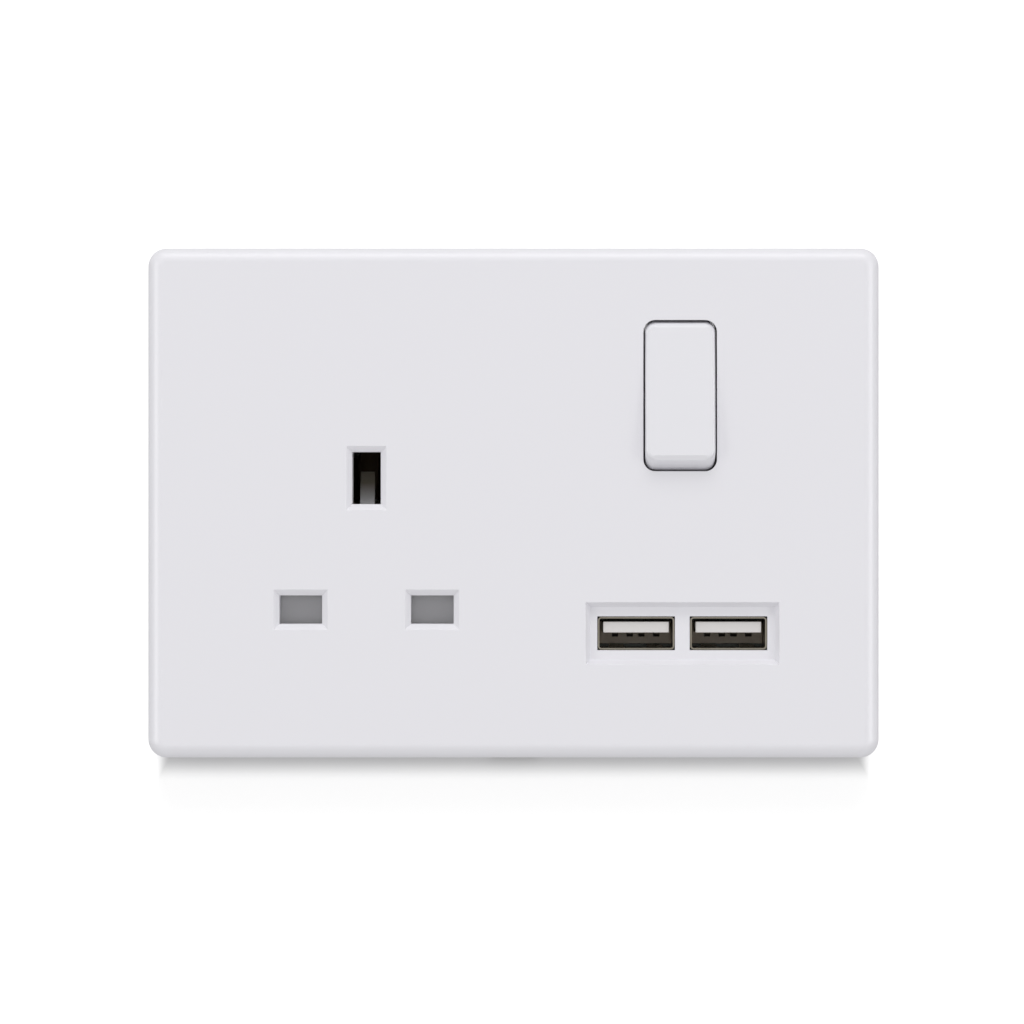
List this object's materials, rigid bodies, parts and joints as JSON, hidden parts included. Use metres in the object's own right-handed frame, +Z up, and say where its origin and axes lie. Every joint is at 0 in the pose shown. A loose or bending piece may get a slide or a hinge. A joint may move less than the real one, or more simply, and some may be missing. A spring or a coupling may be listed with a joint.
{
  "type": "usb wall socket",
  "caption": "White wall plate with a shuttered three-pin outlet, a rocker switch and USB charging ports, with its mechanism behind.",
  "frame": {"origin": "middle of the plate's back, on the wall's surface, midway between the two fixing screws", "axes": "+X to the right seen from the front, +Y into the wall, +Z up; the plate's face looks along -Y"},
  "size_m": [0.1234, 0.0347, 0.086],
  "materials": {
    "cover_plastic": "white moulded plastic, fine gloss",
    "key_plastic": "white moulded plastic, fine gloss",
    "frame_plastic": "off-white reinforced plastic",
    "base_plastic": "pale grey heat-resistant plastic",
    "shutter_plastic": "grey plastic",
    "case_plastic": "black flame-retardant plastic",
    "tongue_plastic": "white connector plastic",
    "brass": "pressed brass strip",
    "contact_metal": "silver-faced brass",
    "spring_steel": "spring wire",
    "zinc_steel": "zinc-plated steel",
    "shell_steel": "nickel-plated sheet",
    "board_green": "green circuit board",
    "ferrite": "dark grey ferrite",
    "winding_tape": "yellow tape over copper wire",
    "can_sleeve": "black sleeve over an aluminium can",
    "black_resin": "black moulded resin",
    "resistor_coat": "grey-blue lacquer",
    "line_sleeve": "red wire insulation",
    "neutral_sleeve": "black wire insulation"
  },
  "bodies": {
    "base": {"front_plate": "cover_plastic", "mounting_frame": "frame_plastic", "inner_cover": "frame_plastic", "socket_base": "base_plastic", "shutter_spring": "spring_steel", "neutral_contact": "brass", "earth_contact": "brass", "line_contact": "brass", "line_feed": "brass", "neutral_terminal": "brass", "earth_terminal": "brass", "line_terminal": "brass", "terminal_screws": "zinc_steel", "assembly_screws": "zinc_steel", "case_screws": "zinc_steel", "usb_case": "case_plastic", "usb_case_lid": "case_plastic", "usb_board": "board_green", "usb_shell_left": "shell_steel", "usb_shell_right": "shell_steel", "usb_tongue_left": "tongue_plastic", "usb_tongue_right": "tongue_plastic", "usb_contacts_left": "contact_metal", "usb_contacts_right": "contact_metal", "transformer_core": "ferrite", "transformer_winding": "winding_tape", "input_capacitor": "can_sleeve", "output_capacitor": "can_sleeve", "bridge_rectifier": "black_resin", "fuse_resistor": "resistor_coat", "usb_line_lead": "line_sleeve", "usb_neutral_lead": "neutral_sleeve"},
    "shutter": {"shutter": "shutter_plastic"},
    "rocker": {"rocker": "key_plastic", "plunger_spring": "spring_steel"},
    "plunger": {"plunger": "key_plastic"},
    "moving_contact": {"moving_contact": "contact_metal"}
  },
  "joints": [
    {"name": "shutter_slide", "type": "slide", "parent": "base", "child": "shutter", "axis": [0, 0, -1], "range_m": [0, 0.006], "stiffness_N_per_m": 60, "springref_m": -0.003, "deforming": ["shutter_spring"]},
    {"name": "rocker_tilt", "type": "hinge", "parent": "base", "child": "rocker", "pos_m": [0.0281, -0.0025, 0.0181], "axis": [1, 0, 0], "range_deg": [0, 12]},
    {"name": "plunger_slide", "type": "slide", "parent": "rocker", "child": "plunger", "axis": [0, -0.9945, 0.1045], "range_m": [0, 0.0004], "stiffness_N_per_m": 300, "springref_m": -0.001},
    {"name": "contact_tilt", "type": "hinge", "parent": "base", "child": "moving_contact", "pos_m": [0.0281, 0.00936, 0.0181], "axis": [1, 0, 0], "range_deg": [-14, 0]}
  ],
  "couplings": [
    {"joint": "contact_tilt", "follows": "rocker_tilt", "ratio": -1.1667}
  ]
}
